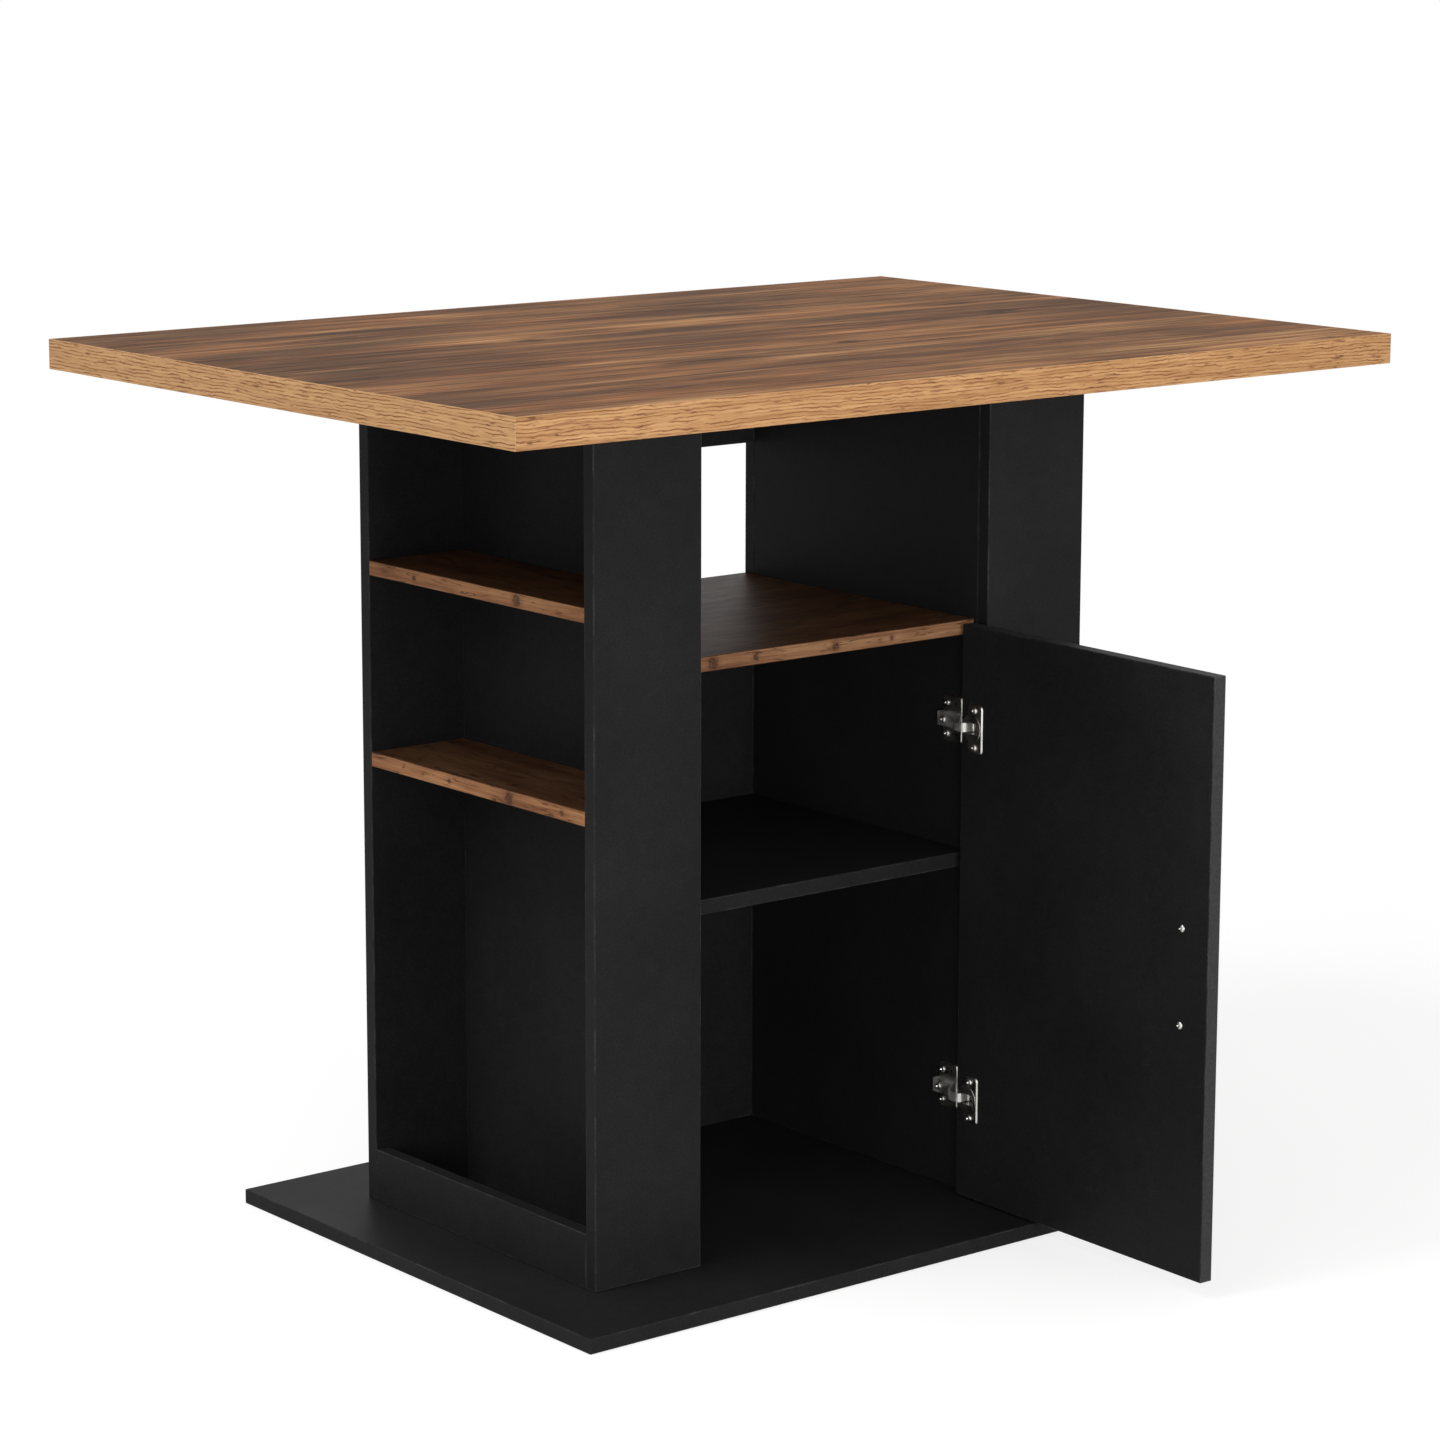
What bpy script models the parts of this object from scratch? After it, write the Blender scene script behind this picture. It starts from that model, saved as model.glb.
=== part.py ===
"""Kitchen island: two open shelf towers, a cupboard with an inset door between them,
one wide base plate below and a thick wood-look worktop above.

Metres, +Z up. The origin is on the floor under the middle of the towers, and -Y is the
front, where the door is. The door is shown open, as it turns on its two cup hinges.
"""

import math

import bmesh
import bpy
from mathutils import Matrix, Vector

# Overall sizes
OVERALL_HEIGHT = 0.900
BODY_LENGTH = 0.626
BODY_DEPTH = 0.386
OPENING_WIDTH = 0.368
BOARD = 0.015
WORKTOP_LENGTH = 1.095
WORKTOP_DEPTH = 0.785
WORKTOP_THICKNESS = 0.030
EDGE_BAND = 0.001
BASE_LENGTH = 0.795
BASE_DEPTH = 0.592

# Heights of the upper faces of the shelves, above the floor
UPPER_TOWER_SHELF_TOP = 0.681
LOWER_TOWER_SHELF_TOP = 0.486
CENTRE_SHELF_TOP = 0.617
INNER_SHELF_TOP = 0.3765

# Rails
BOTTLE_RAIL_HEIGHT = 0.055
BACK_RAIL_HEIGHT = 0.110

# Clearances and broken edges
SEAT = 0.0003
ARRIS = 0.0006
SHELF_SIDE_PLAY = 0.0008
CENTRE_SHELF_SETBACK = 0.0042
INNER_SHELF_SETBACK = 0.008

# Door, hung on the right-hand divider
DOOR_SIDE_GAP = 0.003
DOOR_BOTTOM_GAP = 0.003
DOOR_TOP_REVEAL = 0.003
DOOR_OPEN_ANGLE = math.radians(88.7)
PIN_FROM_EDGE = 0.0082
PIN_FROM_OUTER_FACE = 0.0065
HINGE_FROM_DOOR_END = 0.1045

# Hinge cup, let into the inner face of the door
CUP_RADIUS = 0.013
CUP_FROM_EDGE = 0.0165
CUP_FLOOR = 0.0008
POCKET_HALF_LENGTH = 0.0109
POCKET_HALF_HEIGHT = 0.0056
POCKET_CORNER = 0.0015
FLANGE_THICKNESS = 0.0016
FLANGE_BEVEL = 0.0012
FLANGE_HALF_HEIGHT = 0.025
FLANGE_NEAR_EDGE = 0.0105
FLANGE_FAR_EDGE = 0.033
FLANGE_CORNER = 0.004
FLANGE_RIM = 0.0012
FLANGE_SCREW_SPACING = 0.038
FLANGE_SCREW_FROM_EDGE = 0.0217

# Hinge arm, a cranked steel strip with an eye round the pin
PIN_RADIUS = 0.001
PIN_HALF_LENGTH = 0.009
EYE_RADIUS = 0.0022
EYE_HALF_HEIGHT = 0.0042
EYE_CLEARANCE = 0.0005
NECK_HALF_HEIGHT = 0.0046
NECK_CLEARANCE = 0.0021
NECK_REACH = 0.007
NECK_THICKNESS = 0.002
CRANK_LENGTH = 0.011
ARM_HALF_HEIGHT = 0.007
ARM_REAR = 0.047
ARM_BEND = 0.004
CHEEK_THICKNESS = 0.0015
CHEEK_GAP = 0.0007

# Mounting plate, screwed to the divider
PLATE_THICKNESS = 0.002
PLATE_BEVEL = 0.0013
PLATE_FRONT = 0.0185
PLATE_REAR = 0.0485
PLATE_HALF_HEIGHT = 0.024
PLATE_CORNER = 0.004
SADDLE_HEIGHT = 0.0058
SADDLE_HALF_HEIGHT = 0.0055
SADDLE_FRONT = 0.0205
SADDLE_REAR = 0.0465
PLATE_SCREW_SPACING = 0.032
PLATE_SCREW_PLACE = 0.041
PLATE_SPARE_HOLE_PLACE = 0.0295

# Handle, screwed on from inside the door
HANDLE_SPACING = 0.096
HANDLE_FROM_EDGE = 0.036
HANDLE_STANDOFF = 0.028
HANDLE_WIDTH = 0.010
HANDLE_THICKNESS = 0.007
HANDLE_BEND = 0.011
HANDLE_CORNER = 0.0016

# Screws up through the base plate, one into each wall
BASE_SCREW_HEAD_RADIUS = 0.005
BASE_SCREW_HEAD_HEIGHT = 0.003
BASE_SCREW_RADIUS = 0.0033
BASE_SCREW_LENGTH = 0.046
BASE_SCREW_SUNK = 0.0006

# Eccentric fittings that pull the worktop down on the towers
CAM_RADIUS = 0.0074
CAM_SKIN = 0.0025
CAM_FROM_EDGE = 0.034
CAM_BOLT_IN_WORKTOP = 0.011
CAM_BOLT_RADIUS = 0.0030
CAM_BOLT_NECK = 0.0024
CAM_BOLT_HEAD_LENGTH = 0.005

# Pins under the inner shelf
SHELF_PIN_RADIUS = 0.0025
SHELF_PIN_IN_DIVIDER = 0.008
SHELF_PIN_REACH = 0.007
SHELF_PIN_SPACING = 0.200

# Small screws: head radius, head height, shank radius, shank length
SCREW_CROWN_SHARE = 0.6
SCREW_RIM_SHARE = 0.45
FLANGE_SCREW = (0.0036, 0.0018, 0.0016, 0.0100)
PLATE_SCREW = (0.0036, 0.0018, 0.0016, 0.0110)
FIXING_SCREW = (0.0038, 0.0020, 0.0018, 0.0060)
HANDLE_SCREW = (0.0040, 0.0022, 0.0019, 0.0220)
FIXING_SCREW_PLACE = 0.038

# Sides of the round pieces
SCREW_SIDES = 12
CAM_SIDES = 16
CUP_SIDES = 40
EYE_SIDES = 16
BEND_STEPS = 5

# Planes and lines that follow from the sizes above
FRONT = -BODY_DEPTH / 2
BACK = BODY_DEPTH / 2
HALF_BODY = BODY_LENGTH / 2
HALF_OPENING = OPENING_WIDTH / 2
INNER_FRONT = FRONT + BOARD
INNER_BACK = BACK - BOARD
BASE_TOP = BOARD
WORKTOP_BOTTOM = OVERALL_HEIGHT - WORKTOP_THICKNESS
WALL_BOTTOM = BASE_TOP + SEAT
WALL_TOP = WORKTOP_BOTTOM - SEAT
CENTRE_SHELF_BOTTOM = CENTRE_SHELF_TOP - BOARD
BACK_RAIL_BOTTOM = WALL_TOP - BACK_RAIL_HEIGHT
PANEL_MIDDLE = (HALF_BODY + HALF_OPENING) / 2
SIDES = {"left": -1, "right": 1}
ENDS = {"front": -1, "back": 1}
HIGH_LOW = {"high": 0.5, "low": -0.5}

DOOR_WIDTH = OPENING_WIDTH - 2 * DOOR_SIDE_GAP
DOOR_BOTTOM = BASE_TOP + DOOR_BOTTOM_GAP
DOOR_TOP = CENTRE_SHELF_TOP - DOOR_TOP_REVEAL
DOOR_MIDDLE = (DOOR_BOTTOM + DOOR_TOP) / 2
PIN_X = HALF_OPENING - DOOR_SIDE_GAP - PIN_FROM_EDGE
PIN_Y = FRONT + PIN_FROM_OUTER_FACE
PIN_DEPTH = BOARD - PIN_FROM_OUTER_FACE
HINGE_HEIGHTS = {
    "upper": DOOR_TOP - HINGE_FROM_DOOR_END,
    "lower": DOOR_BOTTOM + HINGE_FROM_DOOR_END,
}


def clear_scene():
    for old in list(bpy.data.objects):
        bpy.data.objects.remove(old)


def finish(name, colour, roughness, metallic=0.0):
    """A plain Principled material."""
    made = bpy.data.materials.new(name)
    made.use_nodes = True
    shader = made.node_tree.nodes["Principled BSDF"]
    shader.inputs["Base Color"].default_value = (*colour, 1.0)
    shader.inputs["Roughness"].default_value = roughness
    shader.inputs["Metallic"].default_value = metallic
    return made


def make_finishes():
    return {
        "black": finish("black_melamine", (0.016, 0.016, 0.017), 0.45),
        "worktop": finish("old_wood_laminate", (0.21, 0.105, 0.058), 0.5),
        "band": finish("oak_edge_band", (0.46, 0.27, 0.12), 0.55),
        "shelf": finish("old_wood_shelf", (0.26, 0.12, 0.058), 0.5),
        "steel": finish("nickel_steel", (0.72, 0.72, 0.71), 0.25, 1.0),
        "zinc": finish("zinc_alloy", (0.55, 0.55, 0.56), 0.4, 1.0),
        "handle": finish("black_metal", (0.02, 0.02, 0.021), 0.4, 1.0),
    }


# Shapes, added to a bmesh


def add_prism(bm, outline, place, low, high):
    """Extrudes a flat outline; place maps (u, v, height) to a point."""
    add_stack(bm, place, ((outline, low), (outline, high)))


def add_stack(bm, place, levels):
    """A solid through outlines of one count of points at rising or falling heights."""
    rings = []
    for outline, out in levels:
        rings.append([bm.verts.new(place(u, v, out)) for u, v in outline])
    bm.faces.new(rings[0])
    bm.faces.new(rings[-1])
    for lower, upper in zip(rings, rings[1:]):
        for i in range(len(lower)):
            j = (i + 1) % len(lower)
            bm.faces.new((lower[i], lower[j], upper[j], upper[i]))


def add_turned(bm, origin, axis, profile, sides):
    """Turns a profile of (radius, distance along the axis) points round an axis."""
    turn = Vector((0, 0, 1)).rotation_difference(Vector(axis)).to_matrix()
    rings = []
    for radius, along in profile:
        ring = []
        for k in range(sides):
            angle = 2 * math.pi * (k + 0.5) / sides
            point = Vector((radius * math.cos(angle), radius * math.sin(angle), along))
            ring.append(bm.verts.new(Vector(origin) + turn @ point))
        rings.append(ring)
    bm.faces.new(rings[0])
    bm.faces.new(rings[-1])
    for ring, following in zip(rings, rings[1:]):
        for k in range(sides):
            j = (k + 1) % sides
            bm.faces.new((ring[k], ring[j], following[j], following[k]))


def add_rod(bm, origin, axis, radius, start, end, sides):
    add_turned(bm, origin, axis, [(radius, start), (radius, end)], sides)


def add_sweep(bm, path, across, section):
    """Carries a section along a flat path; section(i) gives (offset, across) pairs."""
    across = Vector(across)
    rings = []
    for i, point in enumerate(path):
        before = path[max(i - 1, 0)]
        after = path[min(i + 1, len(path) - 1)]
        normal = across.cross((after - before).normalized())
        rings.append([bm.verts.new(point + normal * n + across * a) for n, a in section(i)])
    bm.faces.new(rings[0])
    bm.faces.new(rings[-1])
    count = len(rings[0])
    for ring, following in zip(rings, rings[1:]):
        for k in range(count):
            j = (k + 1) % count
            bm.faces.new((ring[k], ring[j], following[j], following[k]))


def rounded_path(corners, radius):
    """A polyline through the corners, with each inner corner turned into an arc."""
    points = [Vector(corners[0])]
    for before, corner, after in zip(corners, corners[1:], corners[2:]):
        corner = Vector(corner)
        inward = (Vector(before) - corner).normalized()
        outward = (Vector(after) - corner).normalized()
        half = inward.angle(outward) / 2
        start = corner + inward * radius / math.tan(half)
        middle = corner + (inward + outward).normalized() * radius / math.sin(half)
        axis = inward.cross(outward).normalized()
        for k in range(BEND_STEPS + 1):
            turn = -(math.pi - 2 * half) * k / BEND_STEPS
            points.append(middle + Matrix.Rotation(turn, 3, axis) @ (start - middle))
    points.append(Vector(corners[-1]))
    return points


def rounded_rectangle(low, high, radius):
    """Outline of a rectangle between two corners, with its corners turned into arcs."""
    outline = []
    centres = ((high[0], high[1]), (low[0], high[1]), (low[0], low[1]), (high[0], low[1]))
    for quarter, (u, v) in enumerate(centres):
        u += radius if u == low[0] else -radius
        v += radius if v == low[1] else -radius
        for k in range(BEND_STEPS):
            angle = (quarter + k / (BEND_STEPS - 1)) * math.pi / 2
            outline.append((u + radius * math.cos(angle), v + radius * math.sin(angle)))
    return outline


def add_bevelled_plate(bm, low, high, radius, bevel, place, seat, top):
    """A rounded plate from its seat to its top, bevelled all round the top."""
    shoulder = top - math.copysign(bevel, top - seat)
    full = rounded_rectangle(low, high, radius)
    inner_low = (low[0] + bevel, low[1] + bevel)
    inner_high = (high[0] - bevel, high[1] - bevel)
    inner = rounded_rectangle(inner_low, inner_high, radius - bevel)
    add_stack(bm, place, ((full, seat), (full, shoulder), (inner, top)))


def mesh_object(name, bm, material=None, parent=None, location=(0, 0, 0)):
    bmesh.ops.recalc_face_normals(bm, faces=bm.faces)
    mesh = bpy.data.meshes.new(name)
    bm.to_mesh(mesh)
    bm.free()
    made = bpy.data.objects.new(name, mesh)
    made.location = location
    made.parent = parent
    bpy.context.scene.collection.objects.link(made)
    if material:
        mesh.materials.append(material)
    return made


def shade_round(made):
    made.data.shade_smooth()
    made.data.set_sharp_from_angle(angle=math.radians(35))


def combine(made, name, bm, operation):
    """Cuts the shapes in bm from an object, or joins them to it."""
    helper = mesh_object(name, bm, parent=made.parent)
    helper.hide_render = True
    helper.display_type = "WIRE"
    step = made.modifiers.new(name, "BOOLEAN")
    step.operation = operation
    step.solver = "EXACT"
    step.object = helper


# Fasteners are kept in lists of turned solids, so that each board finds its own bores


class Fastener:
    """A turned solid on an axis, with the bores that it needs, as (radius, start, end)."""

    def __init__(self, name, kind, origin, axis, profile, bores, sides=SCREW_SIDES):
        self.name = name
        self.kind = kind
        self.origin = Vector(origin)
        self.axis = Vector(axis).normalized()
        self.profile = profile
        self.bores = bores
        self.sides = sides

    def make(self, material, parent=None):
        bm = bmesh.new()
        add_turned(bm, self.origin, self.axis, self.profile, self.sides)
        made = mesh_object(self.name, bm, material, parent)
        shade_round(made)
        return made

    def enters(self, start, end, radius, low, high):
        ends = (self.origin + self.axis * start, self.origin + self.axis * end)
        for k in range(3):
            reach = radius * math.sqrt(max(0.0, 1 - self.axis[k] ** 2))
            near = min(ends[0][k], ends[1][k]) - reach
            far = max(ends[0][k], ends[1][k]) + reach
            if near > high[k] - SEAT * 2 or far < low[k] + SEAT * 2:
                return False
        return True

    def add_bores(self, bm, low, high):
        """Adds the bores that enter the box between low and high."""
        for radius, start, end in self.bores:
            if self.enters(start, end, radius, low, high):
                ends = (start - SEAT, end + SEAT)
                add_rod(bm, self.origin, self.axis, radius + SEAT, *ends, self.sides)


def base_screw(name, x, y):
    head_end = BASE_SCREW_SUNK + BASE_SCREW_HEAD_HEIGHT
    cone = BASE_SCREW_HEAD_RADIUS - BASE_SCREW_RADIUS
    profile = [
        (BASE_SCREW_HEAD_RADIUS, BASE_SCREW_SUNK),
        (BASE_SCREW_HEAD_RADIUS, head_end - cone),
        (BASE_SCREW_RADIUS, head_end),
        (BASE_SCREW_RADIUS, BASE_SCREW_LENGTH),
    ]
    head_bore = (BASE_SCREW_HEAD_RADIUS, -SEAT, head_end)
    shank_bore = (BASE_SCREW_RADIUS, BASE_SCREW_SUNK, BASE_SCREW_LENGTH)
    return [
        Fastener(name, "base_screw_heads", (x, y, 0), (0, 0, 1), profile, [head_bore]),
        Fastener(name, "base_screw_shanks", (x, y, 0), (0, 0, 1), None, [shank_bore]),
    ]


def base_screws():
    made = []
    for side_name, side in SIDES.items():
        for end_name, end in ENDS.items():
            name = side_name + "_" + end_name + "_base_screw"
            made += base_screw(name, side * PANEL_MIDDLE, end * (BACK - BOARD / 2))
        made += base_screw(side_name + "_divider_base_screw", side * (HALF_OPENING + BOARD / 2), 0)
    return made


def cam_bolt(name, x, y):
    """Threaded into the worktop, with its head in the middle of a cam."""
    reach = CAM_FROM_EDGE + CAM_BOLT_HEAD_LENGTH / 2
    neck_end = reach - CAM_BOLT_HEAD_LENGTH
    profile = [
        (CAM_BOLT_RADIUS, -CAM_BOLT_IN_WORKTOP),
        (CAM_BOLT_RADIUS, SEAT),
        (CAM_BOLT_NECK, SEAT * 3),
        (CAM_BOLT_NECK, neck_end),
        (CAM_BOLT_RADIUS, neck_end + SEAT * 2),
        (CAM_BOLT_RADIUS, reach),
    ]
    bores = [(CAM_BOLT_RADIUS, -CAM_BOLT_IN_WORKTOP, reach)]
    return Fastener(name, "cam_bolts", (x, y, WORKTOP_BOTTOM), (0, 0, -1), profile, bores)


def cam_lock(name, x, face, outward):
    """An eccentric disc let into the inner face of a tower panel."""
    depth = BOARD - CAM_SKIN
    profile = [(CAM_RADIUS, SEAT), (CAM_RADIUS, depth)]
    bores = [(CAM_RADIUS, -SEAT * 2, depth)]
    origin = (x, face, WORKTOP_BOTTOM - CAM_FROM_EDGE)
    return Fastener(name, "cam_locks", origin, (0, outward, 0), profile, bores, CAM_SIDES)


def cam_fittings():
    """One cam and one bolt at the top of each tower panel, as pairs."""
    made = []
    for side_name, side in SIDES.items():
        for end_name, end in ENDS.items():
            name = side_name + "_" + end_name + "_cam_"
            x = side * PANEL_MIDDLE
            bolt = cam_bolt(name + "bolt", x, end * (BACK - BOARD / 2))
            made.append((bolt, cam_lock(name + "lock", x, end * INNER_BACK, end)))
    return made


def shelf_pins():
    made = []
    height = INNER_SHELF_TOP - BOARD - SEAT - SHELF_PIN_RADIUS
    profile = [(SHELF_PIN_RADIUS, -SHELF_PIN_REACH), (SHELF_PIN_RADIUS, SHELF_PIN_IN_DIVIDER)]
    bores = [(SHELF_PIN_RADIUS, -SEAT * 2, SHELF_PIN_IN_DIVIDER)]
    for side_name, side in SIDES.items():
        for end_name, end in ENDS.items():
            name = side_name + "_" + end_name + "_shelf_pin"
            origin = (side * HALF_OPENING, end * SHELF_PIN_SPACING / 2, height)
            made.append(Fastener(name, "shelf_pins", origin, (side, 0, 0), profile, bores))
    return made


def small_screw(name, kind, origin, axis, sizes):
    """A pan-head screw; the origin is under its head and the axis points along its shank."""
    head, height, shank, length = sizes
    crown = (head * SCREW_CROWN_SHARE, -height)
    rim = (head, -height * SCREW_RIM_SHARE)
    profile = [crown, rim, (head, 0), (shank, 0), (shank, length)]
    return Fastener(name, kind, origin, axis, profile, [(shank, -SEAT * 2, length)])


def plate_screws():
    """Two screws through each mounting plate into the right-hand divider."""
    made = []
    x = HALF_OPENING - SEAT - PLATE_THICKNESS - SEAT
    for hinge, height in HINGE_HEIGHTS.items():
        for end_name, step in HIGH_LOW.items():
            name = hinge + "_plate_screw_" + end_name
            origin = (x, INNER_FRONT + PLATE_SCREW_PLACE, height + step * PLATE_SCREW_SPACING)
            made.append(small_screw(name, "plate_screws", origin, (1, 0, 0), PLATE_SCREW))
    return made


def bore(made, fasteners, low, high):
    """Cuts from an object every bore that enters its box, one kind at a time."""
    for kind in sorted({item.kind for item in fasteners}):
        bm = bmesh.new()
        for item in fasteners:
            if item.kind == kind:
                item.add_bores(bm, low, high)
        if bm.verts:
            combine(made, made.name + "_" + kind, bm, "DIFFERENCE")
        else:
            bm.free()


def board(name, low, high, material, fasteners=(), parent=None, arris=ARRIS):
    """A rectangular board between two corners, with broken edges and its bores."""
    low = Vector(low)
    high = Vector(high)
    size = high - low
    bm = bmesh.new()
    bmesh.ops.create_cube(bm, size=1.0, matrix=Matrix.Diagonal((*size, 1.0)))
    made = mesh_object(name, bm, material, parent, (low + high) / 2)
    edges = made.modifiers.new("arris", "BEVEL")
    edges.width = arris
    edges.segments = 1
    bore(made, fasteners, low, high)
    return made


def between(a, b):
    return (min(a, b), max(a, b))


# Boards of the base, the towers and the cupboard


def make_tower(name, side, finishes, fasteners):
    outer = between(side * HALF_OPENING, side * HALF_BODY)
    divider = between(side * HALF_OPENING, side * (HALF_OPENING + BOARD))
    shelf = between(side * (HALF_OPENING + BOARD + SEAT), side * HALF_BODY)
    rail = between(side * (HALF_BODY - BOARD), side * HALF_BODY)
    inside = (INNER_FRONT + SEAT, INNER_BACK - SEAT)
    walls = (WALL_BOTTOM, WALL_TOP)

    def add(piece, x, y, z, material):
        low = (x[0], y[0], z[0])
        high = (x[1], y[1], z[1])
        board(name + "_" + piece, low, high, finishes[material], fasteners)

    add("front_panel", outer, (FRONT, INNER_FRONT), walls, "black")
    add("back_panel", outer, (INNER_BACK, BACK), walls, "black")
    add("divider", divider, inside, walls, "black")
    for piece, top in (
        ("upper_shelf", UPPER_TOWER_SHELF_TOP),
        ("lower_shelf", LOWER_TOWER_SHELF_TOP),
    ):
        add(piece, shelf, inside, (top - BOARD, top), "shelf")
    rail_heights = (WALL_BOTTOM, BASE_TOP + BOTTLE_RAIL_HEIGHT)
    add("bottle_rail", rail, inside, rail_heights, "black")


def make_cupboard(finishes, fasteners):
    half = HALF_OPENING - SEAT
    board(
        "centre_shelf",
        (-half, INNER_FRONT + CENTRE_SHELF_SETBACK, CENTRE_SHELF_BOTTOM),
        (half, BACK, CENTRE_SHELF_TOP),
        finishes["shelf"],
        fasteners,
    )
    board(
        "cupboard_back",
        (-half, INNER_BACK, WALL_BOTTOM),
        (half, BACK, CENTRE_SHELF_BOTTOM - SEAT),
        finishes["black"],
        fasteners,
    )
    board(
        "back_top_rail",
        (-half, INNER_BACK, BACK_RAIL_BOTTOM),
        (half, BACK, WALL_TOP),
        finishes["black"],
        fasteners,
    )
    half_inner = HALF_OPENING - SHELF_SIDE_PLAY
    board(
        "inner_shelf",
        (-half_inner, INNER_FRONT + INNER_SHELF_SETBACK, INNER_SHELF_TOP - BOARD),
        (half_inner, INNER_BACK - SEAT, INNER_SHELF_TOP),
        finishes["black"],
    )


def make_base(finishes, fasteners):
    half_length = BASE_LENGTH / 2
    half_depth = BASE_DEPTH / 2
    board(
        "base_plate",
        (-half_length, -half_depth, 0),
        (half_length, half_depth, BASE_TOP),
        finishes["black"],
        fasteners,
    )


def make_worktop(finishes, fasteners):
    """The core board, and the edge band that runs round all four sides of it."""
    half_length = WORKTOP_LENGTH / 2
    half_depth = WORKTOP_DEPTH / 2
    core_length = half_length - EDGE_BAND - SEAT
    core_depth = half_depth - EDGE_BAND - SEAT
    board(
        "worktop",
        (-core_length, -core_depth, WORKTOP_BOTTOM),
        (core_length, core_depth, OVERALL_HEIGHT),
        finishes["worktop"],
        fasteners,
        arris=SEAT,
    )
    band = board(
        "worktop_edge_band",
        (-half_length, -half_depth, WORKTOP_BOTTOM),
        (half_length, half_depth, OVERALL_HEIGHT),
        finishes["band"],
        arris=SEAT,
    )
    inner = ((half_length - EDGE_BAND) * 2, (half_depth - EDGE_BAND) * 2, OVERALL_HEIGHT)
    bm = bmesh.new()
    shape = Matrix.Translation((0, 0, WORKTOP_BOTTOM)) @ Matrix.Diagonal((*inner, 1.0))
    bmesh.ops.create_cube(bm, size=1.0, matrix=shape)
    combine(band, "worktop_edge_band_inside", bm, "DIFFERENCE")


# Door and its handle, in a frame whose Z axis is the hinge pins' axis, with the door shut


def make_door_axis():
    axis = bpy.data.objects.new("door_axis", None)
    axis.location = (PIN_X, PIN_Y, 0)
    axis.rotation_euler = (0, 0, DOOR_OPEN_ANGLE)
    bpy.context.scene.collection.objects.link(axis)
    return axis


def from_hinge_edge(distance):
    return PIN_FROM_EDGE - distance


def door_fasteners():
    """Flange screws of both cups and the two handle screws, all driven outwards."""
    made = []
    outwards = (0, -1, 0)
    flange = PIN_DEPTH + SEAT + FLANGE_THICKNESS + SEAT
    for hinge, height in HINGE_HEIGHTS.items():
        for end_name, step in HIGH_LOW.items():
            name = hinge + "_cup_screw_" + end_name
            z = height + step * FLANGE_SCREW_SPACING
            origin = (from_hinge_edge(FLANGE_SCREW_FROM_EDGE), flange, z)
            made.append(small_screw(name, "cup_screws", origin, outwards, FLANGE_SCREW))
    for end_name, step in HIGH_LOW.items():
        origin = (handle_line(), PIN_DEPTH + SEAT, DOOR_MIDDLE + step * HANDLE_SPACING)
        name = "handle_screw_" + end_name
        made.append(small_screw(name, "handle_screws", origin, outwards, HANDLE_SCREW))
    return made


def handle_line():
    return from_hinge_edge(DOOR_WIDTH - HANDLE_FROM_EDGE)


def make_door_panel(axis, finishes, fasteners):
    low = (from_hinge_edge(DOOR_WIDTH), -PIN_FROM_OUTER_FACE, DOOR_BOTTOM)
    high = (PIN_FROM_EDGE, PIN_DEPTH, DOOR_TOP)
    made = board("door_panel", low, high, finishes["black"], fasteners, axis)
    bm = bmesh.new()
    for height in HINGE_HEIGHTS.values():
        origin = (from_hinge_edge(CUP_FROM_EDGE), 0, height)
        depth = EYE_RADIUS + EYE_CLEARANCE + CUP_FLOOR + SEAT
        add_rod(
            bm, origin, (0, 1, 0), CUP_RADIUS + SEAT, -depth, PIN_DEPTH + FLANGE_THICKNESS, CUP_SIDES
        )
    combine(made, "door_cup_bores", bm, "DIFFERENCE")


def make_handle(axis, finishes, fasteners):
    """A bow of flattened bar: two legs, two bends and the grip."""
    seat = -PIN_FROM_OUTER_FACE - SEAT
    grip = seat - HANDLE_STANDOFF + HANDLE_THICKNESS / 2
    top = DOOR_MIDDLE + HANDLE_SPACING / 2
    bottom = DOOR_MIDDLE - HANDLE_SPACING / 2
    x = handle_line()
    path = rounded_path(
        ((x, seat, top), (x, grip, top), (x, grip, bottom), (x, seat, bottom)), HANDLE_BEND
    )
    half_thickness = HANDLE_THICKNESS / 2
    half_width = HANDLE_WIDTH / 2
    outline = rounded_rectangle(
        (-half_thickness, -half_width), (half_thickness, half_width), HANDLE_CORNER
    )
    bm = bmesh.new()
    add_sweep(bm, path, (1, 0, 0), lambda i: outline)
    made = mesh_object("door_handle", bm, finishes["handle"], axis)
    shade_round(made)
    low = (x - half_width, seat - HANDLE_STANDOFF, bottom - half_thickness)
    high = (x + half_width, seat, top + half_thickness)
    bore(made, fasteners, low, high)


# Cup hinges: cup and pin on the door, arm and mounting plate on the divider


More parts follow.
